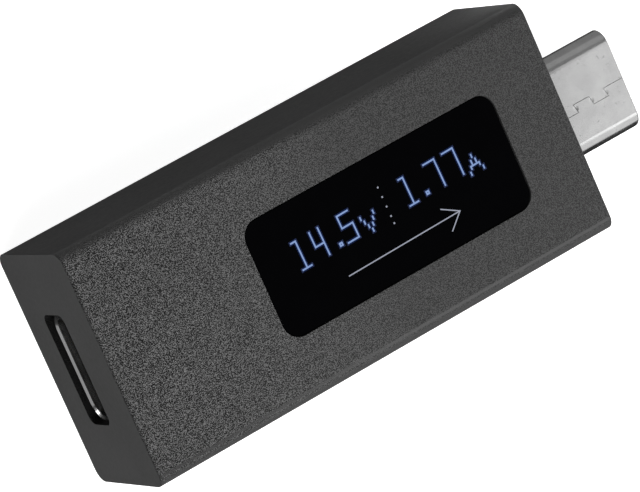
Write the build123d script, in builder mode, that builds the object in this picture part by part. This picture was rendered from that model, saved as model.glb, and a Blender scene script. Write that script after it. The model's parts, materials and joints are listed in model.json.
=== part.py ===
"""USB-C in-line power meter, as an assembly of separate parts.

Millimetres. X runs along the body from the socket end (-X) to the plug tip (+X), Y runs
across it and Z comes out of the display face. The origin is the middle of the footprint,
on the flat back.
"""

import math
import os

from build123d import *

# ---- Driving dimensions ------------------------------------------------------------------
body_length = 42.8
body_width = 19.0
body_depth = 11.1
long_edge_round = 1.0
edge_round = 0.06  # the slight round a mould leaves on the edges of the end faces
plug_reach = 7.0  # how far the plug stands out of the end face

x_socket_face = -(body_length + plug_reach) / 2
x_plug_face = x_socket_face + body_length
x_tip = x_plug_face + plug_reach

# Housing walls
front_wall = 1.4
side_wall = 1.7
end_wall = 1.5
rim_wall = 1.2  # thinner wall round the rear cover
cover_thickness = 1.2
cover_gap = 0.1
z_front_inner = body_depth - front_wall

# Heights of the two connectors and of the board between them
z_plug = 7.75
z_socket = 5.1
board_thickness = 0.8
z_board_top = z_plug + board_thickness / 2
z_board_bottom = z_plug - board_thickness / 2

# Display opening in the front wall
window_x = 0.74
window_length = 23.5
window_height = 9.6
window_radius = 1.45
window_recess = 0.08
window_thickness = 0.8
window_gap = 0.05
adhesive_thickness = 0.1
sight_length = 22.5
sight_height = 8.4
sight_radius = 1.0
z_window_top = body_depth - window_recess
z_window_bottom = z_window_top - window_thickness
z_window_seat = z_window_bottom - adhesive_thickness

# USB-C shells: outer size of the plug shell, inner size of the socket shell
plug_width = 8.25
plug_height = 2.4
plug_wall = 0.2
socket_width = 8.34
socket_height = 2.56
socket_wall = 0.3
socket_recess = 0.46
socket_length = 7.35
contact_pitch = 0.5
contact_count = 12

contact_rows = [contact_pitch * (i - (contact_count - 1) / 2) for i in range(contact_count)]
both_sides = (-1, 1)


def ribbon(points, thickness):
    """Closed outline of a strip of even thickness bent along a path, corners mitred."""
    count = len(points)
    unit = []
    for (ax, ay), (bx, by) in zip(points, points[1:]):
        span = math.hypot(bx - ax, by - ay)
        unit.append(((bx - ax) / span, (by - ay) / span))
    left = []
    right = []
    for i, (x, y) in enumerate(points):
        before = unit[max(i - 1, 0)]
        after = unit[min(i, count - 2)]
        mx = -(before[1] + after[1])
        my = before[0] + after[0]
        length = math.hypot(mx, my)
        mx, my = mx / length, my / length
        reach = thickness / 2 / (mx * -after[1] + my * after[0])
        left.append((x + mx * reach, y + my * reach))
        right.append((x - mx * reach, y - my * reach))
    return left + right[::-1]


def save(builder, name):
    builder.part.label = name
    export_step(builder.part, f"parts/{name}.step")


os.makedirs("parts", exist_ok=True)

# ---- Front shell: display face and all four walls in one moulding --------------------------
cavity_x0 = x_socket_face + end_wall
cavity_x1 = x_plug_face - end_wall
cavity_y = body_width / 2 - side_wall
seat_x0 = x_socket_face + rim_wall
seat_x1 = x_plug_face - rim_wall
seat_y = body_width / 2 - rim_wall

rib_y = 6.3
rib_x0 = -21.5
rib_x1 = 13.0
hook_xs = (-17.0, 9.5)
hook_width = 3.2
hook_thickness = 0.9
barb_reach = 0.35
barb_z0 = 3.1
barb_z1 = 3.9
pins = ((-20.5, 6.65), (4.5, -6.65))
pin_radius = 0.5

slot_width = 9.07
slot_height = 3.43
slot_radius = 0.7
plug_hole_gap = 0.12

with BuildPart() as front_shell:
    with BuildSketch(Plane.YZ.offset(x_socket_face)):
        Rectangle(body_width, body_depth, align=(Align.CENTER, Align.MIN))
        fillet(vertices(), radius=long_edge_round)
    extrude(amount=body_length)
    fillet(faces().filter_by(Axis.X).edges(), radius=edge_round)
    # Cavity, then the wider seat for the rear cover
    with BuildSketch(Plane.XY.offset(cover_thickness)):
        with Locations(((cavity_x0 + cavity_x1) / 2, 0)):
            RectangleRounded(cavity_x1 - cavity_x0, 2 * cavity_y, 0.8)
    extrude(amount=z_front_inner - cover_thickness, mode=Mode.SUBTRACT)
    with BuildSketch(Plane.XY):
        with Locations(((seat_x0 + seat_x1) / 2, 0)):
            RectangleRounded(seat_x1 - seat_x0, 2 * seat_y, 1.0)
    extrude(amount=cover_thickness, mode=Mode.SUBTRACT)
    # Display opening: a seat for the window, then the sight hole
    with BuildSketch(Plane.XY.offset(z_window_seat)):
        with Locations((window_x, 0)):
            RectangleRounded(window_length, window_height, window_radius)
    extrude(amount=body_depth - z_window_seat, mode=Mode.SUBTRACT)
    with BuildSketch(Plane.XY.offset(z_front_inner)):
        with Locations((window_x, 0)):
            RectangleRounded(sight_length, sight_height, sight_radius)
    extrude(amount=z_window_seat - z_front_inner, mode=Mode.SUBTRACT)
    # Mouth for the socket and hole for the plug
    with BuildSketch(Plane.YZ.offset(x_socket_face)):
        with Locations((0, z_socket)):
            RectangleRounded(slot_width, slot_height, slot_radius)
    extrude(amount=end_wall, mode=Mode.SUBTRACT)
    with BuildSketch(Plane.YZ.offset(x_plug_face)):
        with Locations((0, z_plug)):
            SlotOverall(plug_width + 2 * plug_hole_gap, plug_height + 2 * plug_hole_gap)
    extrude(amount=-end_wall, mode=Mode.SUBTRACT)
    # Ribs the board is pressed up against, with two locating pins
    for side in both_sides:
        with BuildSketch(Plane.XY.offset(z_board_top)):
            with Locations(((rib_x0 + rib_x1) / 2, side * (rib_y + cavity_y) / 2)):
                Rectangle(rib_x1 - rib_x0, cavity_y - rib_y)
        extrude(amount=z_front_inner - z_board_top)
    with BuildSketch(Plane.XY.offset(z_board_top)):
        with Locations(*pins):
            Circle(pin_radius)
    extrude(amount=-(board_thickness + 0.3))
    # Pockets in the long walls for the cover's hooks
    for side in both_sides:
        for hook_x in hook_xs:
            with Locations((hook_x, side * (cavity_y + 0.2), (barb_z0 + barb_z1) / 2)):
                Box(hook_width + 0.4, 0.4, barb_z1 - barb_z0 + 0.1, mode=Mode.SUBTRACT)
save(front_shell, "front_shell")

# ---- Rear cover: flat inset plate with a lip, four hooks and four board posts ---------------
lip_y = cavity_y - 0.1
post_spots = ((-12.0, -6.2), (-12.0, 6.2), (11.3, -6.2), (11.3, 6.2))
post_radius = 1.1
cover_x0 = seat_x0 + cover_gap
cover_x1 = seat_x1 - cover_gap

with BuildPart() as rear_cover:
    with BuildSketch(Plane.XY):
        with Locations(((cover_x0 + cover_x1) / 2, 0)):
            RectangleRounded(cover_x1 - cover_x0, 2 * (seat_y - cover_gap), 0.9)
    extrude(amount=cover_thickness)
    chamfer(faces().sort_by(Axis.Z)[0].edges(), length=0.12)
    lip_x0 = cavity_x0 + 0.1
    lip_x1 = cavity_x1 - 0.1
    with BuildSketch(Plane.XY.offset(cover_thickness)):
        with Locations(((lip_x0 + lip_x1) / 2, 0)):
            RectangleRounded(lip_x1 - lip_x0, 2 * lip_y, 0.7)
            inner = (lip_x1 - lip_x0 - 1.8, 2 * lip_y - 1.8)
            Rectangle(*inner, mode=Mode.SUBTRACT)
    extrude(amount=0.9)
    for side in both_sides:
        for hook_x in hook_xs:
            hook_y = side * (lip_y - hook_thickness / 2)
            with Locations((hook_x, hook_y, cover_thickness)):
                Box(hook_width, hook_thickness, barb_z1 + 0.3 - cover_thickness,
                    align=(Align.CENTER, Align.CENTER, Align.MIN))
            barb = (
                (side * lip_y, barb_z0),
                (side * (lip_y + barb_reach), barb_z0),
                (side * lip_y, barb_z1),
            )
            with BuildSketch(Plane.YZ.offset(hook_x)):
                with BuildLine():
                    Polyline(*barb, close=True)
                make_face()
            extrude(amount=hook_width / 2, both=True)
    with BuildSketch(Plane.XY.offset(cover_thickness)):
        with Locations(*post_spots):
            Circle(post_radius)
    extrude(amount=z_board_bottom - cover_thickness)
save(rear_cover, "rear_cover")

# ---- Display window and the adhesive frame it sits on ---------------------------------------
with BuildPart() as display_window:
    with BuildSketch(Plane.XY.offset(z_window_bottom)):
        with Locations((window_x, 0)):
            RectangleRounded(
                window_length - 2 * window_gap,
                window_height - 2 * window_gap,
                window_radius - window_gap,
            )
    extrude(amount=window_thickness)
    chamfer(faces().sort_by(Axis.Z)[-1].edges(), length=0.08)
save(display_window, "display_window")

with BuildPart() as window_adhesive:
    with BuildSketch(Plane.XY.offset(z_window_seat)):
        with Locations((window_x, 0)):
            RectangleRounded(window_length - 0.2, window_height - 0.2, window_radius - 0.1)
            RectangleRounded(sight_length, sight_height, sight_radius, mode=Mode.SUBTRACT)
    extrude(amount=adhesive_thickness)
save(window_adhesive, "window_adhesive")

# ---- OLED panel: polariser, substrate glass, cap glass, driver chip, flex, tape, foam -------
panel_x0 = -16.0
panel_x1 = 14.0
panel_width = 11.5
cap_x0 = -11.2
tape_thickness = 0.2
glass_thickness = 0.5
polariser_thickness = 0.15
z_cap = z_board_top + tape_thickness
z_glass = z_cap + glass_thickness
z_polariser = z_glass + glass_thickness
z_gasket = z_polariser + polariser_thickness

with BuildPart() as oled_glass:
    with BuildSketch(Plane.XY.offset(z_glass)):
        with Locations(((panel_x0 + panel_x1) / 2, 0)):
            Rectangle(panel_x1 - panel_x0, panel_width)
            chamfer(vertices(), length=0.3)
    extrude(amount=glass_thickness)
save(oled_glass, "oled_glass")

with BuildPart() as oled_cap_glass:
    with BuildSketch(Plane.XY.offset(z_cap)):
        with Locations(((cap_x0 + panel_x1) / 2, 0)):
            Rectangle(panel_x1 - cap_x0 - 0.2, panel_width - 0.2)
            chamfer(vertices(), length=0.3)
    extrude(amount=glass_thickness)
save(oled_cap_glass, "oled_cap_glass")

with BuildPart() as oled_polariser:
    with BuildSketch(Plane.XY.offset(z_polariser)):
        with Locations((0.9, 0)):
            RectangleRounded(25.6, 10.8, 0.2)
    extrude(amount=polariser_thickness)
save(oled_polariser, "oled_polariser")

with BuildPart() as oled_driver_chip:
    with Locations((-12.9, 0, z_glass)):
        Box(1.4, 10.0, 0.3, align=(Align.CENTER, Align.CENTER, Align.MAX))
    chamfer(faces().sort_by(Axis.Z)[0].edges(), length=0.05)
save(oled_driver_chip, "oled_driver_chip")

flex_thickness = 0.08
flex_width = 7.0
flex_path = (
    (panel_x0 + 1.4, z_glass - flex_thickness / 2),
    (panel_x0 - 0.3, z_glass - flex_thickness / 2),
    (panel_x0 - 1.4, z_board_top + flex_thickness / 2),
    (panel_x0 - 4.0, z_board_top + flex_thickness / 2),
)

with BuildPart() as oled_flex:
    with BuildSketch(Plane.XZ):
        with BuildLine():
            Polyline(*ribbon(flex_path, flex_thickness), close=True)
        make_face()
    extrude(amount=flex_width / 2, both=True)
save(oled_flex, "oled_flex")

with BuildPart() as display_tape:
    with Locations((0.75, 0, z_board_top)):
        Box(22.9, 10.0, tape_thickness, align=(Align.CENTER, Align.CENTER, Align.MIN))
    fillet(edges().filter_by(Axis.Z), radius=0.3)
save(display_tape, "display_tape")

with BuildPart() as display_gasket:
    with BuildSketch(Plane.XY.offset(z_gasket)):
        with Locations((window_x, 0)):
            RectangleRounded(24.6, 10.4, 0.8)
            RectangleRounded(22.7, 8.6, 0.9, mode=Mode.SUBTRACT)
    extrude(amount=z_front_inner - z_gasket)
save(display_gasket, "display_gasket")

# ---- Main board ----------------------------------------------------------------------------
board_x0 = -23.1
board_x1 = 14.3
board_width = 15.2
socket_leg_y = socket_width / 2 + socket_wall / 2
socket_legs = ((-22.4, 1.1), (-18.9, 1.0))
plug_leg_y = plug_width / 2 - plug_wall / 2
plug_leg_x0 = 13.2

with BuildPart() as main_board:
    with BuildSketch(Plane.XY.offset(z_board_bottom)):
        with Locations(((board_x0 + board_x1) / 2, 0)):
            RectangleRounded(board_x1 - board_x0, board_width, 0.6)
        with Locations(*pins):
            Circle(pin_radius + 0.06, mode=Mode.SUBTRACT)
        for side in both_sides:
            for leg_x, leg_length in socket_legs:
                with Locations((leg_x, side * socket_leg_y)):
                    Rectangle(leg_length + 0.3, socket_wall + 0.3, mode=Mode.SUBTRACT)
            with Locations((board_x1, side * plug_leg_y)):
                Rectangle(2 * (board_x1 - plug_leg_x0 + 0.2), plug_wall + 0.25,
                          mode=Mode.SUBTRACT)
        # Plated through holes between the two copper faces
        for via_x in (-6.0, -4.5, -3.0, 6.5, 8.0):
            for side in both_sides:
                with Locations((via_x, side * 5.6)):
                    Circle(0.2, mode=Mode.SUBTRACT)
    extrude(amount=board_thickness)
save(main_board, "main_board")

# ---- Parts on the underside of the board -----------------------------------------------------
above = (Align.CENTER, Align.CENTER, Align.MAX)

with BuildPart() as microcontroller:
    with Locations((3.0, 0, z_board_bottom - 0.02)):
        Box(5.0, 5.0, 0.83, align=above)
    chamfer(edges().filter_by(Axis.Z), length=0.15)
    with Locations((3.0, 0, z_board_bottom)):
        Box(3.4, 3.4, 0.02, align=above)
    # Lead pads round the edge, flush under the body
    for i in range(8):
        offset_along = 0.5 * (i - 3.5)
        for side in both_sides:
            with Locations((3.0 + offset_along, side * 2.3, z_board_bottom)):
                Box(0.25, 0.4, 0.02, align=above)
            with Locations((3.0 + side * 2.3, offset_along, z_board_bottom)):
                Box(0.4, 0.25, 0.02, align=above)
save(microcontroller, "microcontroller")

lead_thickness = 0.15


def gull_path(centre_y, side, body_half, foot_half):
    """Path of a bent lead from the side of a small package down to its foot on the board."""
    z_foot = z_board_bottom - lead_thickness / 2
    z_root = z_board_bottom - 0.55
    return (
        (centre_y + side * (body_half - 0.2), z_root),
        (centre_y + side * (body_half + 0.2), z_root),
        (centre_y + side * (body_half + 0.35), z_foot),
        (centre_y + side * foot_half, z_foot),
    )


monitor_x = -8.0
monitor_y = -2.6

with BuildPart() as current_monitor:
    with Locations((monitor_x, monitor_y, z_board_bottom - 0.1)):
        Box(3.0, 3.0, 0.85, align=above)
    chamfer(faces().sort_by(Axis.Z)[0].edges(), length=0.12)
    for side in both_sides:
        path = gull_path(monitor_y, side, 1.5, 2.4)
        for i in range(4):
            with BuildSketch(Plane.YZ.offset(monitor_x + 0.65 * (i - 1.5))):
                with BuildLine():
                    Polyline(*ribbon(path, lead_thickness), close=True)
                make_face()
            extrude(amount=0.125, both=True)
save(current_monitor, "current_monitor")

regulator_x = 8.6
regulator_y = -2.4

with BuildPart() as voltage_regulator:
    with Locations((regulator_x, regulator_y, z_board_bottom - 0.1)):
        Box(2.9, 1.6, 1.0, align=above)
    chamfer(faces().sort_by(Axis.Z)[0].edges(), length=0.12)
    for side in both_sides:
        path = gull_path(regulator_y, side, 0.8, 1.4)
        for offset_along in (-0.95, 0, 0.95):
            if side > 0 and offset_along == 0:
                continue
            with BuildSketch(Plane.YZ.offset(regulator_x + offset_along)):
                with BuildLine():
                    Polyline(*ribbon(path, lead_thickness), close=True)
                make_face()
            extrude(amount=0.2, both=True)
save(voltage_regulator, "voltage_regulator")

with BuildPart() as shunt_resistor:
    with Locations((-8.0, 2.6, z_board_bottom)):
        Box(6.3, 3.2, 0.6, align=above)
        Box(4.0, 3.3, 0.7, align=above)
save(shunt_resistor, "shunt_resistor")

capacitor_spots = (
    (-3.2, 3.6), (-3.2, 1.8), (-3.2, -3.4), (7.6, 3.2), (10.2, 3.2), (11.6, -2.4),
)
with BuildPart() as ceramic_capacitors:
    for spot in capacitor_spots:
        with Locations((*spot, z_board_bottom)):
            Box(1.25, 1.1, 0.9, align=above)
        for side in both_sides:
            with Locations((spot[0], spot[1] + side * 0.7, z_board_bottom)):
                Box(1.3, 0.35, 0.95, align=above)
save(ceramic_capacitors, "ceramic_capacitors")

resistor_spots = (
    (-12.2, -2.4), (-12.2, 0.0), (-12.2, 2.4), (-3.6, -1.0), (2.0, 4.6), (4.0, 4.6),
    (1.0, -4.6), (7.4, 0.6), (9.4, 0.6),
)
with BuildPart() as chip_resistors:
    for spot in resistor_spots:
        with Locations((*spot, z_board_bottom)):
            Box(0.8, 1.0, 0.4, align=above)
        for side in both_sides:
            with Locations((spot[0], spot[1] + side * 0.62, z_board_bottom)):
                Box(0.82, 0.3, 0.45, align=above)
save(chip_resistors, "chip_resistors")

# ---- USB-C plug ------------------------------------------------------------------------------
plug_inner_width = plug_width - 2 * plug_wall
plug_inner_height = plug_height - 2 * plug_wall
plug_shell_x0 = 15.0
plug_lip = 0.2
plug_lip_width = 7.45
plug_lip_height = 1.6
plug_block_x0 = 14.35
plug_cavity_x0 = 18.7
plug_cavity_width = 6.9
plug_cavity_height = 1.3
plug_front = x_tip - plug_lip
tip_round = 0.18

# Seam where the rolled shell closes: dovetails that step across the middle of the flat
seam_width = 0.04
seam_drop = 0.73
seam_flare = 0.1
seam_steps = (1.92, 3.38, 4.92, 6.38, 7.92, 9.38)
stake_radius = 2.2
stake_depth = 0.014

seam_path = [(x_tip + 0.1, 0)]
for i, step in enumerate(seam_steps):
    level = (0, -seam_drop) if i % 2 == 0 else (-seam_drop, 0)
    flare = seam_flare if i % 2 == 0 else -seam_flare
    seam_path.append((x_tip - step - flare, level[0]))
    seam_path.append((x_tip - step + flare, level[1]))
seam_path.append((plug_shell_x0 - 0.1, seam_path[-1][1]))

with BuildPart() as plug_shell:
    with BuildSketch(Plane.YZ.offset(plug_shell_x0)):
        with Locations((0, z_plug)):
            SlotOverall(plug_width, plug_height)
    extrude(amount=x_tip - plug_shell_x0)
    fillet(faces().sort_by(Axis.X)[-1].edges(), radius=tip_round)
    with BuildSketch(Plane.YZ.offset(plug_shell_x0)):
        with Locations((0, z_plug)):
            SlotOverall(plug_inner_width, plug_inner_height)
    extrude(amount=plug_front - plug_shell_x0, mode=Mode.SUBTRACT)
    with BuildSketch(Plane.YZ.offset(plug_front)):
        with Locations((0, z_plug)):
            SlotOverall(plug_lip_width, plug_lip_height)
    extrude(amount=plug_lip, mode=Mode.SUBTRACT)
    # Side legs that stand in the notches of the board
    for side in both_sides:
        with Locations((plug_leg_x0, side * plug_leg_y, z_plug)):
            Box(plug_shell_x0 + 0.3 - plug_leg_x0, plug_wall, 1.0,
                align=(Align.MIN, Align.CENTER, Align.CENTER))
    # Seam, with a shallow dimple staked over each crossing
    with BuildSketch(Plane.XY.offset(z_plug + plug_lip_height / 2 - 0.1)):
        with BuildLine():
            Polyline(*ribbon(seam_path, seam_width), close=True)
        make_face()
    extrude(amount=plug_height / 2, mode=Mode.SUBTRACT)
    z_stake = z_plug + plug_height / 2 - stake_depth + stake_radius
    for step in seam_steps[:-1]:
        with Locations((x_tip - step, -seam_drop / 2, z_stake)):
            Sphere(stake_radius, mode=Mode.SUBTRACT)
save(plug_shell, "plug_shell")

# Contacts: solder tails astride the board, straight through the housing, sprung at the mouth
contact_width = 0.25
contact_thickness = 0.12
contact_rise = board_thickness / 2 + contact_thickness / 2


def plug_contact_path(direction):
    reach = (
        (12.7, contact_rise),
        (plug_cavity_x0, contact_rise),
        (21.0, contact_rise + 0.06),
        (22.3, 0.36),
        (22.9, 0.55),
    )
    return [(x, z_plug + direction * z) for x, z in reach]


with BuildPart() as plug_contacts_upper:
    for row in contact_rows:
        with BuildSketch(Plane.XZ.offset(-row)):
            with BuildLine():
                Polyline(*ribbon(plug_contact_path(1), contact_thickness), close=True)
            make_face()
        extrude(amount=contact_width / 2, both=True)
save(plug_contacts_upper, "plug_contacts_upper")

with BuildPart() as plug_contacts_lower:
    for row in contact_rows:
        with BuildSketch(Plane.XZ.offset(-row)):
            with BuildLine():
                Polyline(*ribbon(plug_contact_path(-1), contact_thickness), close=True)
            make_face()
        extrude(amount=contact_width / 2, both=True)
save(plug_contacts_lower, "plug_contacts_lower")

# Middle plate between the contact rows, with a sprung latch arm down each side
latch_path = ((17.3, 3.6), (20.5, 3.6), (21.3, 3.3), (21.9, 3.5))
latch_height = 0.5

with BuildPart() as plug_midplate:
    with Locations((16.75, 0, z_plug)):
        Box(3.1, 7.4, 0.15)
    for side in both_sides:
        path = [(x, side * y) for x, y in latch_path]
        with BuildSketch(Plane.XY.offset(z_plug)):
            with BuildLine():
                Polyline(*ribbon(path, 0.2), close=True)
            make_face()
        extrude(amount=latch_height / 2, both=True)
save(plug_midplate, "plug_midplate")

# Ground springs: a plate against each flat of the shell, with four fingers into the mouth
finger_rows = (-2.1, -0.7, 0.7, 2.1)
finger_width = 0.9
spring_thickness = 0.1
spring_x0 = 21.4
spring_x1 = 23.3
spring_width = 5.4

with BuildPart() as plug_ground_springs:
    for side in both_sides:
        z_plate = z_plug + side * (plug_inner_height / 2 - spring_thickness / 2)
        with Locations(((spring_x0 + spring_x1) / 2, 0, z_plate)):
            Box(spring_x1 - spring_x0, spring_width, spring_thickness)
        path = (
            (spring_x1 - 0.1, z_plate),
            (spring_x1 + 0.05, z_plate),
            (spring_x1 + 0.4, z_plate - side * 0.17),
            (spring_x1 + 0.7, z_plate - side * 0.08),
        )
        for row in finger_rows:
            with BuildSketch(Plane.XZ.offset(-row)):
                with BuildLine():
                    Polyline(*ribbon(path, spring_thickness), close=True)
                make_face()
            extrude(amount=finger_width / 2, both=True)
save(plug_ground_springs, "plug_ground_springs")

with BuildPart() as plug_housing:
    with BuildSketch(Plane.YZ.offset(plug_shell_x0)):
        with Locations((0, z_plug)):
            SlotOverall(plug_inner_width, plug_inner_height)
    extrude(amount=plug_front - 0.02 - plug_shell_x0)
    with Locations((plug_block_x0, 0, z_plug)):
        Box(plug_shell_x0 - plug_block_x0, 7.0, 2.2,
            align=(Align.MIN, Align.CENTER, Align.CENTER))
    with BuildSketch(Plane.YZ.offset(plug_cavity_x0)):
        with Locations((0, z_plug)):
            RectangleRounded(plug_cavity_width, plug_cavity_height, 0.3)
    extrude(amount=x_tip - plug_cavity_x0, mode=Mode.SUBTRACT)
    for side in both_sides:
        # Room for the latch arm to spring outward
        with Locations((17.1, side * 3.3, z_plug)):
            latch_align = Align.MIN if side > 0 else Align.MAX
            Box(5.2, 0.7, 0.7, align=(Align.MIN, latch_align, Align.CENTER),
                mode=Mode.SUBTRACT)
        # Shallow bed and window for the ground spring
        z_face = z_plug + side * plug_inner_height / 2
        bed_align = Align.MAX if side > 0 else Align.MIN
        with Locations((spring_x0, 0, z_face)):
            Box(spring_x1 + 0.8 - spring_x0, spring_width + 0.1, spring_thickness,
                align=(Align.MIN, Align.CENTER, bed_align), mode=Mode.SUBTRACT)
        with Locations((spring_x1, 0, z_face)):
            Box(0.8, spring_width + 0.1, 0.6,
                align=(Align.MIN, Align.CENTER, bed_align), mode=Mode.SUBTRACT)
    add(plug_contacts_upper.part, mode=Mode.SUBTRACT)
    add(plug_contacts_lower.part, mode=Mode.SUBTRACT)
    add(plug_midplate.part, mode=Mode.SUBTRACT)
save(plug_housing, "plug_housing")

# ---- USB-C socket ----------------------------------------------------------------------------
socket_x0 = x_socket_face + socket_recess
socket_x1 = socket_x0 + socket_length
socket_outer_width = socket_width + 2 * socket_wall
socket_outer_height = socket_height + 2 * socket_wall
socket_base_x0 = -19.2
tongue_x0 = socket_x0 + 0.9
tongue_width = 6.69
tongue_thickness = 0.7

with BuildPart() as socket_shell:
    with BuildSketch(Plane.YZ.offset(socket_x0)):
        with Locations((0, z_socket)):
            SlotOverall(socket_outer_width, socket_outer_height)
    extrude(amount=socket_length)
    for side in both_sides:
        for leg_x, leg_length in socket_legs:
            with Locations((leg_x, side * socket_leg_y, z_socket)):
                Box(leg_length, socket_wall, z_board_top + 0.15 - z_socket,
                    align=(Align.CENTER, Align.CENTER, Align.MIN))
    with BuildSketch(Plane.YZ.offset(socket_x0)):
        with Locations((0, z_socket)):
            SlotOverall(socket_width, socket_height)
    extrude(amount=socket_length, mode=Mode.SUBTRACT)
    mouth = faces().sort_by(Axis.X)[0]
    chamfer(mouth.inner_wires()[0].edges(), length=0.16)
save(socket_shell, "socket_shell")

socket_contact_rise = tongue_thickness / 2 - 0.05
z_solder = z_board_bottom - 0.05


def socket_contact_path(direction, x_turn):
    z_blade = z_socket + direction * socket_contact_rise
    return (
        (tongue_x0 + 0.4, z_blade),
        (x_turn, z_blade),
        (x_turn, z_solder),
        (x_turn + 0.8, z_solder),
    )


with BuildPart() as socket_contacts_upper:
    for row in contact_rows:
        with BuildSketch(Plane.XZ.offset(-row)):
            with BuildLine():
                Polyline(*ribbon(socket_contact_path(1, -15.8), 0.1), close=True)
            make_face()
        extrude(amount=contact_width / 2, both=True)
save(socket_contacts_upper, "socket_contacts_upper")

with BuildPart() as socket_contacts_lower:
    for row in contact_rows:
        with BuildSketch(Plane.XZ.offset(-row)):
            with BuildLine():
                Polyline(*ribbon(socket_contact_path(-1, -14.7), 0.1), close=True)
            make_face()
        extrude(amount=contact_width / 2, both=True)
save(socket_contacts_lower, "socket_contacts_lower")

notch_x = tongue_x0 + 1.9
notch_length = 0.8
notch_depth = 0.35

with BuildPart() as socket_midplate:
    with Locations((tongue_x0 + 0.2, 0, z_socket)):
        Box(5.6, tongue_width, 0.12, align=(Align.MIN, Align.CENTER, Align.CENTER))
    for side in both_sides:
        with Locations((notch_x, side * tongue_width / 2, z_socket)):
            Box(notch_length, 2 * notch_depth, 0.12, mode=Mode.SUBTRACT)
save(socket_midplate, "socket_midplate")

with BuildPart() as socket_housing:
    with BuildSketch(Plane.YZ.offset(socket_base_x0)):
        with Locations((0, z_socket)):
            SlotOverall(socket_width, socket_height)
    extrude(amount=socket_x1 - socket_base_x0)
    with Locations((tongue_x0, 0, z_socket)):
        Box(socket_base_x0 - tongue_x0, tongue_width, tongue_thickness,
            align=(Align.MIN, Align.CENTER, Align.CENTER))
    chamfer(faces().sort_by(Axis.X)[0].edges().filter_by(Axis.Y), length=0.12)
    # Thick root of the tongue, and the foot that raises the socket to the board
    with Locations((socket_base_x0 - 0.9, 0, z_socket)):
        Box(0.9, tongue_width + 0.5, 1.15, align=(Align.MIN, Align.CENTER, Align.CENTER))
    with Locations((socket_x1, 0, z_socket - 1.5)):
        Box(0.7, 8.2, z_board_bottom - z_socket + 1.5,
            align=(Align.MIN, Align.CENTER, Align.MIN))
    z_shell_top = z_socket + socket_outer_height / 2
    with Locations((-22.3, 0, z_shell_top)):
        Box(socket_x1 + 22.3, 6.8, z_board_bottom - z_shell_top,
            align=(Align.MIN, Align.CENTER, Align.MIN))
    for side in both_sides:
        with Locations((notch_x, side * tongue_width / 2, z_socket)):
            Box(notch_length, 2 * notch_depth, tongue_thickness, mode=Mode.SUBTRACT)
    add(socket_contacts_upper.part, mode=Mode.SUBTRACT)
    add(socket_contacts_lower.part, mode=Mode.SUBTRACT)
    add(socket_midplate.part, mode=Mode.SUBTRACT)
save(socket_housing, "socket_housing")
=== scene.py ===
"""Looks of the USB-C power meter: materials, lit readout, studio light and camera.

Everything is in metres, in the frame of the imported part: X runs toward the plug tip, Y across
the body and Z out of the display face, with the flat back on the floor at Z = 0.
"""

import json
import math

import bmesh
import bpy
from mathutils import Matrix, Vector


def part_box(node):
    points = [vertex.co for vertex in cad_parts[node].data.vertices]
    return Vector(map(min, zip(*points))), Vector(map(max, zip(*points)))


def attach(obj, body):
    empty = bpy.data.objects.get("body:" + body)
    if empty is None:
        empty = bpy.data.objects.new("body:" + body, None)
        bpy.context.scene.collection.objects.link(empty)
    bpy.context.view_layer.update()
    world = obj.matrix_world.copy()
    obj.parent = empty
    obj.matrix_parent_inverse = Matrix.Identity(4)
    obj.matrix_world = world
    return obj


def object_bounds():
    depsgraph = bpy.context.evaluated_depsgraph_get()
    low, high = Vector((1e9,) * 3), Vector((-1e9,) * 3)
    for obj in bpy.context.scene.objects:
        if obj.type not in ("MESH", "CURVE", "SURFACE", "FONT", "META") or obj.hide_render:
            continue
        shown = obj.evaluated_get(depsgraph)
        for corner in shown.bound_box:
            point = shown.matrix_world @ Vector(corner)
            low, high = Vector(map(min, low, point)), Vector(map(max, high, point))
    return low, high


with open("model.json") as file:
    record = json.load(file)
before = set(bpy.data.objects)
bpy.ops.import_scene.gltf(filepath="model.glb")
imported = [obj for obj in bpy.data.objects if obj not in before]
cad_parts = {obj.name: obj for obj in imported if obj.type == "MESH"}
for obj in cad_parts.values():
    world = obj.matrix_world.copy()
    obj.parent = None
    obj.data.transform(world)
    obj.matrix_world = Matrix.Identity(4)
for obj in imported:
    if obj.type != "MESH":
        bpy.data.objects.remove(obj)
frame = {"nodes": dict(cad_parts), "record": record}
cad_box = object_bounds()

MM = 0.001


# ---- Building materials -----------------------------------------------------------------------


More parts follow.
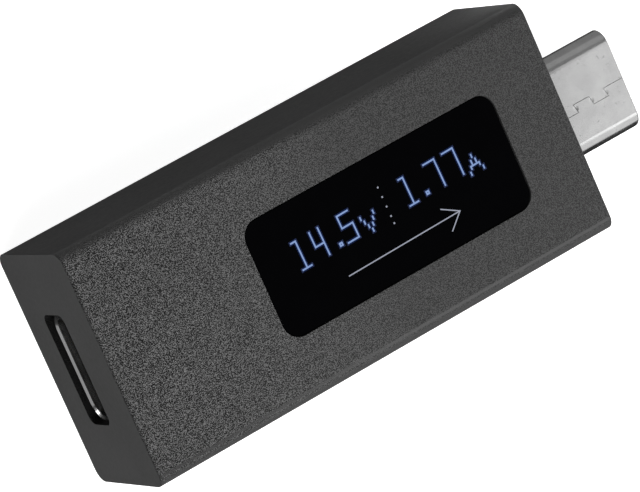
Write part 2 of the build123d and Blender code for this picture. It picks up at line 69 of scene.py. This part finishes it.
class Shader:
    """A node material on a Principled surface, with its textures laid out in millimetres."""

    def __init__(self, name):
        self.material = bpy.data.materials.new(name)
        self.material.use_nodes = True
        self.tree = self.material.node_tree
        self.tree.nodes.clear()
        self.surface = self.add("ShaderNodeBsdfPrincipled")
        output = self.add("ShaderNodeOutputMaterial")
        self.join(self.surface.outputs["BSDF"], output.inputs["Surface"])
        self.coordinates = self.add("ShaderNodeTexCoord")
        self.millimetres = self.stretch((1, 1, 1))

    def add(self, kind, **settings):
        made = self.tree.nodes.new(kind)
        for key, value in settings.items():
            setattr(made, key, value)
        return made

    def join(self, source, target):
        """Link an output to an input, or set the input where the source is a plain value."""
        if isinstance(source, bpy.types.NodeSocket):
            self.tree.links.new(source, target)
        else:
            target.default_value = source

    def stretch(self, scale):
        """The part's coordinates in millimetres, times a scale for each axis."""
        mapping = self.add("ShaderNodeMapping")
        self.join(self.coordinates.outputs["Object"], mapping.inputs["Vector"])
        mapping.inputs["Scale"].default_value = [value / MM for value in scale]
        return mapping.outputs["Vector"]

    def axis(self, output, name):
        """One component of an output of the texture coordinates."""
        split = self.add("ShaderNodeSeparateXYZ")
        self.join(self.coordinates.outputs[output], split.inputs["Vector"])
        return split.outputs[name]

    def noise(self, scale, detail=3.0, roughness=0.55, vector=None):
        texture = self.add("ShaderNodeTexNoise")
        self.join(vector or self.millimetres, texture.inputs["Vector"])
        texture.inputs["Scale"].default_value = scale
        texture.inputs["Detail"].default_value = detail
        texture.inputs["Roughness"].default_value = roughness
        return texture.outputs["Fac"]

    def cells(self, scale, smoothness=0.5):
        """Pebbles: high in the middle of each cell and low between cells."""
        texture = self.add("ShaderNodeTexVoronoi", feature="SMOOTH_F1")
        self.join(self.millimetres, texture.inputs["Vector"])
        texture.inputs["Scale"].default_value = scale
        texture.inputs["Smoothness"].default_value = smoothness
        return self.math("SUBTRACT", 1.0, texture.outputs["Distance"])

    def math(self, operation, *values):
        made = self.add("ShaderNodeMath", operation=operation)
        for value, target in zip(values, made.inputs):
            self.join(value, target)
        return made.outputs["Value"]

    def span(self, value, low, high, new_low=0.0, new_high=1.0):
        """Move a value from one range to another, held to its ends."""
        made = self.add("ShaderNodeMapRange")
        self.join(value, made.inputs["Value"])
        made.inputs["From Min"].default_value = low
        made.inputs["From Max"].default_value = high
        made.inputs["To Min"].default_value = new_low
        made.inputs["To Max"].default_value = new_high
        return made.outputs["Result"]

    def blend(self, factor, first, second):
        """A colour between two colours."""
        made = self.add("ShaderNodeMix", data_type="RGBA")
        self.join(factor, made.inputs[0])
        self.join(first, made.inputs[6])
        self.join(second, made.inputs[7])
        return made.outputs[2]

    def bump(self, height, depth, strength=1.0, below=None):
        """A normal for a relief of the given depth in millimetres, over another one if given."""
        made = self.add("ShaderNodeBump")
        self.join(height, made.inputs["Height"])
        self.join(strength, made.inputs["Strength"])
        made.inputs["Distance"].default_value = depth * MM
        if below:
            self.join(below, made.inputs["Normal"])
        return made.outputs["Normal"]

    def finish(self, colour, roughness, normal, **inputs):
        self.join(colour, self.surface.inputs["Base Color"])
        self.join(roughness, self.surface.inputs["Roughness"])
        self.join(normal, self.surface.inputs["Normal"])
        for key, value in inputs.items():
            self.join(value, self.surface.inputs[key.replace("_", " ")])
        return self.material


def grey(value):
    return (value, value, value, 1.0)


# ---- Plastics and ceramics --------------------------------------------------------------------

END_FACE = cad_box[0].x
GRAIN_FULL_X = -22.0 * MM
GRAIN_FADED_X = -1.0 * MM
FADED_GRAIN = 0.25
GRAIN_DENSITY = 13.0
GRAIN_DEPTH = 0.25
SLOT_MIDDLE = 5.1 * MM
SLOT_HALF_WIDTH = 4.6 * MM
SLOT_HALF_HEIGHT = 1.8 * MM


def housing_plastic():
    """Black moulded plastic: spark-eroded grain on the display face, finer satin elsewhere."""
    s = Shader("housing_plastic")
    facing = s.axis("Normal", "Z")
    display_face = s.span(facing, 0.80, 0.97)
    grain = s.noise(GRAIN_DENSITY, detail=0.0)
    # The grain is real, but its speckle is painted stronger toward the socket end, standing in for low
    # light grazing the face there; it fades out over the rounded edges
    along = s.span(s.axis("Object", "X"), GRAIN_FULL_X, GRAIN_FADED_X, 1.0, FADED_GRAIN)
    cut = s.math("MULTIPLY", display_face, along)
    relief = s.math("MULTIPLY", s.span(facing, 0.3, 0.97), along)
    satin = s.bump(s.noise(11.0, detail=2.0), 0.006, 0.4)
    normal = s.bump(grain, GRAIN_DEPTH, relief, below=satin)
    clouds = s.span(s.noise(0.16, detail=2.0), 0.35, 0.65)
    smooth = s.blend(clouds, grey(0.036), grey(0.040))
    rounded = s.math("MULTIPLY", s.span(facing, 0.99, 0.95), s.span(facing, 0.05, 0.2))
    smooth = s.blend(rounded, smooth, grey(0.050))
    speckle = s.span(grain, 0.42, 0.58)
    speckled = s.blend(speckle, grey(0.006), grey(0.19))
    plastic = s.blend(cut, s.blend(display_face, smooth, grey(0.0235)), speckled)
    # A painted highlight: a light line where the face rolls over into its -Y edge
    roll_over = s.math("MULTIPLY", s.span(facing, 0.999, 0.995), s.span(facing, 0.955, 0.98))
    painted_edge_highlight = s.math("MULTIPLY", roll_over, s.span(s.axis("Normal", "Y"), -0.02, -0.10))
    plastic = s.blend(painted_edge_highlight, plastic, grey(0.072))
    # The grain ends in a rough dark line of painted shade along the socket's end face
    end_strip = s.span(s.axis("Object", "X"), END_FACE + 0.25 * MM, END_FACE + 0.05 * MM, 0.0, 0.8)
    painted_edge_shade = s.math("MULTIPLY", end_strip, s.span(facing, 0.1, 0.3))
    plastic = s.blend(painted_edge_shade, plastic, s.blend(speckle, grey(0.002), grey(0.04)))
    # Painted shade: the walls of the socket's slot are blacked, standing in for the shade inside the
    # slot
    across_slot = s.math("COMPARE", s.axis("Object", "Y"), 0.0, SLOT_HALF_WIDTH)
    up_slot = s.math("COMPARE", s.axis("Object", "Z"), SLOT_MIDDLE, SLOT_HALF_HEIGHT)
    slot_wall = s.math("COMPARE", s.axis("Normal", "X"), 0.0, 0.5)
    slot = s.math("MULTIPLY", s.math("MULTIPLY", across_slot, up_slot), slot_wall)
    colour = s.blend(slot, plastic, grey(0.007))
    sheen = s.span(s.noise(3.0), 0.3, 0.7, 0.54, 0.62)
    roughness = s.math("SUBTRACT", sheen, s.math("MULTIPLY", rounded, 0.16))
    specular = s.span(slot, 0.0, 1.0, 0.3, 0.1)
    return s.finish(colour, roughness, normal, Specular_IOR_Level=specular)


def window_plastic():
    """Polished smoked window with the faintest moulding waviness."""
    s = Shader("window_plastic")
    smoke = s.noise(0.5, detail=2.0)
    colour = s.blend(smoke, (0.0009, 0.0009, 0.0011, 1), (0.0014, 0.0014, 0.0018, 1))
    normal = s.bump(s.noise(0.25, detail=1.0), 0.01, 0.15)
    roughness = s.span(s.noise(2.0), 0.3, 0.7, 0.03, 0.07)
    return s.finish(colour, roughness, normal, Specular_IOR_Level=0.12)


def connector_plastic():
    """Glass-filled black moulding inside the connectors, with fine flow speckle."""
    s = Shader("connector_plastic")
    speck = s.noise(9.0)
    colour = s.blend(s.span(speck, 0.4, 0.7), grey(0.008), grey(0.015))
    roughness = s.span(speck, 0.3, 0.7, 0.38, 0.5)
    return s.finish(colour, roughness, s.bump(speck, 0.008, 0.4))


def chip_epoxy():
    """Black moulded epoxy of the chip packages, slightly sandy."""
    s = Shader("chip_epoxy")
    sand = s.noise(16.0)
    colour = s.blend(s.span(sand, 0.35, 0.7), grey(0.011), grey(0.022))
    return s.finish(colour, s.span(sand, 0.3, 0.7, 0.5, 0.7), s.bump(sand, 0.01, 0.6))


def porous_black(name, low, high, scale):
    """Foam or tape: matt black with open pores."""
    s = Shader(name)
    pores = s.cells(scale)
    colour = s.blend(s.span(pores, 0.4, 0.9), grey(low), grey(high))
    return s.finish(colour, 0.85, s.bump(pores, 0.03, 0.7), Specular_IOR_Level=0.2)


def fired_ceramic(name, dark, light):
    """Fired body of a chip capacitor or resistor."""
    s = Shader(name)
    fleck = s.noise(5.5)
    colour = s.blend(s.span(fleck, 0.35, 0.7), dark, light)
    return s.finish(colour, s.span(fleck, 0.3, 0.7, 0.4, 0.5), s.bump(fleck, 0.01, 0.4))


# ---- Board and display layers -----------------------------------------------------------------


def board_laminate():
    """Green solder mask, lighter and raised where copper areas lie under it."""
    s = Shader("board_laminate")
    pour = s.add("ShaderNodeTexBrick")
    s.join(s.millimetres, pour.inputs["Vector"])
    pour.inputs["Scale"].default_value = 0.5
    pour.inputs["Mortar Size"].default_value = 0.03
    copper = s.span(pour.outputs["Fac"], 0.6, 0.4)
    mask = s.blend(s.noise(6.0), (0.005, 0.045, 0.018, 1), (0.008, 0.060, 0.025, 1))
    colour = s.blend(copper, mask, (0.012, 0.085, 0.035, 1))
    return s.finish(colour, 0.32, s.bump(copper, 0.02, 0.4))


def flex_film():
    """Amber film with copper lines running along it."""
    s = Shader("flex_film")
    wave = s.add("ShaderNodeTexWave", bands_direction="Y")
    s.join(s.millimetres, wave.inputs["Vector"])
    wave.inputs["Scale"].default_value = 0.75
    line = s.span(wave.outputs["Fac"], 0.45, 0.55)
    colour = s.blend(line, (0.22, 0.075, 0.008, 1), (0.42, 0.17, 0.03, 1))
    return s.finish(colour, 0.3, s.bump(line, 0.01, 0.5))


def polariser_film():
    """Dark film on the panel."""
    s = Shader("polariser_film")
    sheen = s.noise(0.8)
    colour = s.blend(sheen, (0.004, 0.004, 0.006, 1), (0.008, 0.008, 0.011, 1))
    return s.finish(colour, s.span(sheen, 0.3, 0.7, 0.12, 0.2), s.bump(sheen, 0.004, 0.3))


def panel_glass():
    """Thin display glass, seen against the dark layers behind it."""
    s = Shader("panel_glass")
    tint = s.noise(0.3)
    colour = s.blend(tint, (0.05, 0.06, 0.062, 1), (0.07, 0.085, 0.085, 1))
    return s.finish(colour, s.span(tint, 0.3, 0.7, 0.04, 0.08), s.bump(tint, 0.004, 0.2))


def silicon():
    """Ground back of the driver die, blue grey."""
    s = Shader("silicon")
    grind = s.noise(3.0, detail=4.0, vector=s.stretch((1, 12, 1)))
    colour = s.blend(grind, (0.05, 0.055, 0.07, 1), (0.08, 0.085, 0.1, 1))
    roughness = s.span(grind, 0.3, 0.7, 0.18, 0.3)
    return s.finish(colour, roughness, s.bump(grind, 0.003, 0.4), Metallic=0.4)


# ---- Metals -----------------------------------------------------------------------------------


def plated_steel():
    """Satin nickel on drawn strip: lengthwise lines, faint stains and a few dark pits."""
    s = Shader("plated_steel")
    lines = s.noise(5.0, detail=5.0, roughness=0.65, vector=s.stretch((0.25, 3.0, 3.0)))
    stain = s.noise(0.55, detail=4.0, roughness=0.6)
    pits = s.span(s.noise(3.6, detail=2.0), 0.66, 0.72, 0.0, 0.4)
    clean = s.blend(s.span(stain, 0.35, 0.65), grey(0.60), grey(0.68))
    colour = s.blend(pits, clean, grey(0.36))
    roughness = s.math("ADD", s.math("MULTIPLY", lines, 0.10), s.span(stain, 0.3, 0.7, 0.12, 0.20))
    return s.finish(colour, roughness, s.bump(lines, 0.004, 0.5), Metallic=1.0)


def rolled_metal(name, dark, light, smoothest, roughest):
    """Strip metal of the contacts, springs and plates, rolled along its length."""
    s = Shader(name)
    lines = s.noise(6.0, detail=4.0, vector=s.stretch((0.3, 4.0, 4.0)))
    colour = s.blend(s.span(lines, 0.35, 0.65), dark, light)
    roughness = s.span(lines, 0.3, 0.7, smoothest, roughest)
    return s.finish(colour, roughness, s.bump(lines, 0.003, 0.4), Metallic=1.0)


# ---- Finish of each CAD node, by its material slot --------------------------------------------

GOLD_DARK = (0.72, 0.46, 0.15, 1)
GOLD_LIGHT = (0.85, 0.60, 0.24, 1)
ALLOY_LIGHT = (0.36, 0.30, 0.25, 1)
CERAMIC_DARK = (0.20, 0.12, 0.06, 1)
CERAMIC_LIGHT = (0.30, 0.19, 0.11, 1)

looks = {
    "housing_plastic": housing_plastic(),
    "window_plastic": window_plastic(),
    "connector_plastic": connector_plastic(),
    "chip_epoxy": chip_epoxy(),
    "black_adhesive": porous_black("black_adhesive", 0.010, 0.022, 5.0),
    "black_foam": porous_black("black_foam", 0.006, 0.018, 8.0),
    "capacitor_ceramic": fired_ceramic("capacitor_ceramic", CERAMIC_DARK, CERAMIC_LIGHT),
    "resistor_body": fired_ceramic("resistor_body", grey(0.020), grey(0.045)),
    "board_laminate": board_laminate(),
    "flex_film": flex_film(),
    "polariser_film": polariser_film(),
    "panel_glass": panel_glass(),
    "silicon": silicon(),
    "plated_steel": plated_steel(),
    "spring_steel": rolled_metal("spring_steel", grey(0.42), grey(0.55), 0.25, 0.40),
    "shunt_alloy": rolled_metal("shunt_alloy", grey(0.20), ALLOY_LIGHT, 0.35, 0.50),
    "gold_contact": rolled_metal("gold_contact", GOLD_DARK, GOLD_LIGHT, 0.20, 0.32),
}

for row in frame["record"]["subparts"]:
    mesh = frame["nodes"][row["node"]].data
    mesh.materials.clear()
    mesh.materials.append(looks[row["material_slot"]])


# ---- Lit readout ------------------------------------------------------------------------------
# Marks are laid out in font pixels: columns to the right and rows down, from the first digit's
# top left. The panel sits a little askew behind its window, so the whole grid is turned.

PIXEL = 0.2 * MM
LIT_WIDTH = 0.66
GLOW_WIDTH = 1.7
LINE_WIDTH = 0.09 * MM
MARK_THICKNESS = 0.004 * MM
GLOW_LIFT = 0.001 * MM
MARK_LIFT = 0.006 * MM
LEFT_OF_CENTRE = 8.49 * MM
TOP_Y = 1.88 * MM
ASKEW = math.radians(1.45)
window_centre = (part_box("display_window")[0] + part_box("display_window")[1]) / 2
window_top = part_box("display_window")[1].z
READOUT = (
    Matrix.Translation((window_centre.x - LEFT_OF_CENTRE, TOP_Y, window_top))
    @ Matrix.Rotation(ASKEW, 4, "Z")
    @ Matrix.Diagonal((PIXEL, -PIXEL, 1, 1))
)

GLYPHS = {
    "1": ["###.."] + ["..#.."] * 10 + ["#####"],
    "4": ["#...#"] * 6 + ["#####"] + ["....#"] * 5,
    "5": ["######"] + ["#....."] * 4 + ["######"] + [".....#"] * 5 + ["######"],
    "7": ["######"] + [".....#"] * 11,
    "V": ["#.....#"] * 2 + [".#...#."] * 2 + ["..#.#.."] * 2 + ["...#..."] * 2,
    "A": ["...#..."] * 2 + ["..#.#.."] * 2 + [".#####."] + [".#...#."] + ["#.....#"] * 2,
    ".": ["##", "##"],
    "dot": ["#"],
}

VOLTS = [("1", 0, 0), ("4", 8.5, 0), (".", 18, 9.5), ("5", 21.5, 0), ("V", 30, 5)]
AMPS = [("1", 51, 0), (".", 59.5, 9.5), ("7", 63, 0), ("7", 72, 0), ("A", 80, 6)]
DIVIDER = [("dot", 42, row) for row in (-1.5, 2.5, 6.5, 10.5, 13.5)]
ARROW_TAIL = Vector((16.5, 22.5))
ARROW_TIP = Vector((69.5, 23.0))
ARROW_BARBS = (Vector((62.5, 18.7)), Vector((63.2, 28.2)))


def plate(mesh, corners, lift=MARK_LIFT):
    """Add a thin plate over four corners given in font pixels."""
    low = [mesh.verts.new(READOUT @ Vector((x, y, lift))) for x, y in corners]
    high = [mesh.verts.new(v.co + Vector((0, 0, MARK_THICKNESS))) for v in low]
    mesh.faces.new(high)
    mesh.faces.new(low[::-1])
    for i in range(4):
        j = (i + 1) % 4
        mesh.faces.new((low[i], low[j], high[j], high[i]))


def rectangle(mesh, left, top, right, bottom, lift):
    plate(mesh, ((left, bottom), (right, bottom), (right, top), (left, top)), lift)


def cell(mesh, x, y, width, joined_right, joined_down, lift):
    """Add a square over one lit font pixel, with a bridge to each lit neighbour."""
    near = (1 - width) / 2
    far = 1 - near
    rectangle(mesh, x + near, y + near, x + far, y + far, lift)
    if joined_right:
        rectangle(mesh, x + far, y + near, x + 1 + near, y + far, lift)
    if joined_down:
        rectangle(mesh, x + near, y + far, x + far, y + 1 + near, lift)


def stroke(mesh, start, end):
    """Add one straight line with square ends."""
    along = (end - start).normalized() * LINE_WIDTH / 2 / PIXEL
    across = Vector((-along.y, along.x))
    ends = (start - along + across, end + along + across, end + along - across, start - along - across)
    plate(mesh, ends)


def readout_piece(name, draw, finish):
    """Build one group of marks and fix it to the housing."""
    mesh = bmesh.new()
    draw(mesh)
    bmesh.ops.recalc_face_normals(mesh, faces=mesh.faces)
    data = bpy.data.meshes.new(name)
    mesh.to_mesh(data)
    mesh.free()
    data.materials.append(finish)
    piece = bpy.data.objects.new(name, data)
    bpy.context.scene.collection.objects.link(piece)
    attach(piece, "root")


def lit_spots(glyph):
    """The (across, down) places of a glyph's lit pixels."""
    lines = GLYPHS[glyph]
    return {(i, j) for j, line in enumerate(lines) for i, dot in enumerate(line) if dot == "#"}


def glyph_run(marks, width=LIT_WIDTH, lift=MARK_LIFT):
    """A drawing function for marks given as (glyph, column, row)."""

    def draw(mesh):
        for glyph, column, row in marks:
            lit = lit_spots(glyph)
            for i, j in sorted(lit):
                right = width < 1 and (i + 1, j) in lit
                down = width < 1 and (i, j + 1) in lit
                cell(mesh, column + i, row + j, width, right, down, lift)

    return draw


def draw_arrow(mesh):
    stroke(mesh, ARROW_TAIL, ARROW_TIP)
    for barb in ARROW_BARBS:
        stroke(mesh, barb, ARROW_TIP)


def lit_pixels(name, dim, bright):
    """Glowing phosphor that varies a little from pixel to pixel; the halo round the digits uses it as
    a painted glow.
    """
    s = Shader(name)
    glow = s.blend(s.noise(2.5, detail=2.0), dim, bright)
    s.join(glow, s.surface.inputs["Emission Color"])
    normal = s.bump(s.noise(8.0), 0.002, 0.2)
    return s.finish(grey(0.01), 0.4, normal, Emission_Strength=1.0, Specular_IOR_Level=0.1)


digit_light = lit_pixels("lit_digits", (0.175, 0.28, 0.54, 1), (0.27, 0.38, 0.66, 1))
white_light = lit_pixels("lit_white", (0.27, 0.29, 0.36, 1), (0.38, 0.40, 0.47, 1))
# The halo is a painted glow: light laid round the digits, standing in for the light spreading from
# them
painted_bloom_light = lit_pixels("painted_bloom", (0.002, 0.007, 0.036, 1), (0.006, 0.016, 0.070, 1))

readout_piece("readout_volts", glyph_run(VOLTS), digit_light)
readout_piece("readout_amps", glyph_run(AMPS), digit_light)
# A painted glow round the digits
readout_piece("readout_painted_bloom", glyph_run(VOLTS + AMPS, GLOW_WIDTH, GLOW_LIFT), painted_bloom_light)
readout_piece("readout_divider", glyph_run(DIVIDER), white_light)
readout_piece("readout_arrow", draw_arrow, white_light)


# ---- Floor, light and camera ------------------------------------------------------------------

FLOOR_RADIUS = 3.0
FLOOR_SIDES = 96
FLOOR_DROP = 0.0002
FLOOR_GLOW = 0.9
WORLD_LEVEL = 0.037
WALL_LEVEL = 0.20
WALL_DIRECTION = Vector((0.35, 0.9, 0.25)).normalized()
WALL_EDGE = 0.35
WALL_MIDDLE = 0.60


def direction(azimuth, elevation):
    """Unit vector toward an azimuth and elevation in degrees; azimuth 0 is on the -Y side."""
    a = math.radians(azimuth)
    e = math.radians(elevation)
    return Vector((math.sin(a) * math.cos(e), -math.cos(a) * math.cos(e), math.sin(e)))


def lit_paper(name):
    """White paper that glows evenly, as a light table does."""
    s = Shader(name)
    fibre = s.noise(2.0)
    s.join(grey(1.0), s.surface.inputs["Emission Color"])
    colour = s.blend(fibre, grey(0.60), grey(0.62))
    normal = s.bump(fibre, 0.01, 0.1)
    return s.finish(colour, 0.9, normal, Emission_Strength=FLOOR_GLOW, Specular_IOR_Level=0.1)


def staging(name, mesh):
    """Put a piece of the studio in place, out of the part's reflections."""
    data = bpy.data.meshes.new(name)
    mesh.to_mesh(data)
    mesh.free()
    data.materials.append(lit_paper(name))
    made = bpy.data.objects.new(name, data)
    made.location.z = cad_box[0].z - FLOOR_DROP
    made.visible_glossy = False
    bpy.context.scene.collection.objects.link(made)
    return made


def floor_and_backdrop():
    """A wide round light table, with a wall round it that only the camera sees."""
    disc = bmesh.new()
    bmesh.ops.create_circle(disc, cap_ends=True, segments=FLOOR_SIDES, radius=FLOOR_RADIUS)
    staging("floor", disc)
    ring = bmesh.new()
    bmesh.ops.create_circle(ring, segments=FLOOR_SIDES, radius=FLOOR_RADIUS)
    raised = bmesh.ops.extrude_edge_only(ring, edges=ring.edges)["geom"]
    top = [v for v in raised if isinstance(v, bmesh.types.BMVert)]
    bmesh.ops.translate(ring, verts=top, vec=(0, 0, FLOOR_RADIUS))
    wall = staging("backdrop", ring)
    wall.visible_diffuse = False
    wall.visible_shadow = False


def soft_world():
    """Dim surroundings with one broad pale wall on the +Y side."""
    world = bpy.data.worlds.new("studio")
    world.use_nodes = True
    tree = world.node_tree
    coordinates = tree.nodes.new("ShaderNodeTexCoord")
    toward_wall = tree.nodes.new("ShaderNodeVectorMath")
    toward_wall.operation = "DOT_PRODUCT"
    toward_wall.inputs[1].default_value = WALL_DIRECTION
    tree.links.new(coordinates.outputs["Generated"], toward_wall.inputs[0])
    level = tree.nodes.new("ShaderNodeMapRange")
    level.inputs["From Min"].default_value = WALL_EDGE
    level.inputs["From Max"].default_value = WALL_MIDDLE
    level.inputs["To Min"].default_value = WORLD_LEVEL
    level.inputs["To Max"].default_value = WORLD_LEVEL + WALL_LEVEL
    tree.links.new(toward_wall.outputs["Value"], level.inputs["Value"])
    tree.links.new(level.outputs["Result"], tree.nodes["Background"].inputs["Strength"])
    tree.nodes["Background"].inputs["Color"].default_value = grey(1.0)
    bpy.context.scene.world = world


def softbox(name, place, aim, side, power):
    """A square soft light, unseen itself, in millimetres and watts."""
    data = bpy.data.lights.new(name, "AREA")
    data.shape = "SQUARE"
    data.size = side * MM
    data.energy = power
    light = bpy.data.objects.new(name, data)
    light.location = place * MM
    light.rotation_mode = "QUATERNION"
    light.rotation_quaternion = (place - aim).to_track_quat("Z", "Y")
    light.visible_camera = False
    bpy.context.scene.collection.objects.link(light)
    return light


def card(name, aim, toward, distance, side, power):
    """A square card seen only in reflections, set off from an aim point in one direction."""
    light = softbox(name, aim + distance * Vector(toward).normalized(), aim, side, power)
    light.visible_diffuse = False


def fill(name, place, aim, side, power):
    """A soft light that is kept out of reflections."""
    light = softbox(name, place, aim, side, power)
    light.visible_glossy = False


BODY_AIM = Vector((0, 0, 5))
PLUG_AIM = Vector((21, 0, 9))
END_AIM = Vector((17, 9.5, 6))
RIM_AIM = Vector((-24.3, -4, 5))

floor_and_backdrop()
soft_world()
softbox("overhead", BODY_AIM + 500 * direction(-30, 60), BODY_AIM, 300, 2.12)
softbox("near_key", Vector((-60, -60, 110)), BODY_AIM, 60, 0.030)
fill("side_fill", Vector((60, -104, 80)), BODY_AIM, 130, 0.05)
fill("low_left", Vector((-120, -60, 30)), BODY_AIM, 60, 0.060)
softbox("plug_card", Vector((54, -10, 45)), PLUG_AIM, 36, 0.0033)
card("plug_side_card", PLUG_AIM, (0.39, -0.76, 0.51), 55, 52, 0.0070)
card("plug_band_card", PLUG_AIM, (0.41, 0.76, 0.50), 60, 36, 0.0005)
card("tip_card", PLUG_AIM, (0.985, -0.10, 0.12), 60, 36, 0.004)
card("rim_card", RIM_AIM, (-0.75, 0.66, 0.02), 25, 10, 0.0010)
card("rim_sky", RIM_AIM, (-0.85, -0.20, 0.45), 60, 50, 0.00275)
fill("end_glow", Vector((22, 13, 7)), END_AIM, 3, 0.00088)

CAMERA_AZIMUTH = -116.28
CAMERA_ELEVATION = 62.56
CAMERA_ROLL = 89.78
CAMERA_DISTANCE = 339.8 * MM
CAMERA_AIM = Vector((-3.00, -0.70, 5.55)) * MM
SENSOR_WIDTH = 36.0
FOCAL_LENGTH = 253.3

back = direction(CAMERA_AZIMUTH, CAMERA_ELEVATION)
camera_data = bpy.data.cameras.new("camera")
camera_data.sensor_width = SENSOR_WIDTH
camera_data.lens = FOCAL_LENGTH
camera_data.clip_start = CAMERA_DISTANCE / 100
camera_data.clip_end = 2 * FLOOR_RADIUS
camera = bpy.data.objects.new("camera", camera_data)
camera.location = CAMERA_AIM + back * CAMERA_DISTANCE
turn = Matrix.Rotation(math.radians(CAMERA_ROLL), 3, "Z")
camera.rotation_euler = (back.to_track_quat("Z", "Y").to_matrix() @ turn).to_euler()
bpy.context.scene.collection.objects.link(camera)
bpy.context.scene.camera = camera
bpy.context.scene.view_settings.view_transform = "Standard"
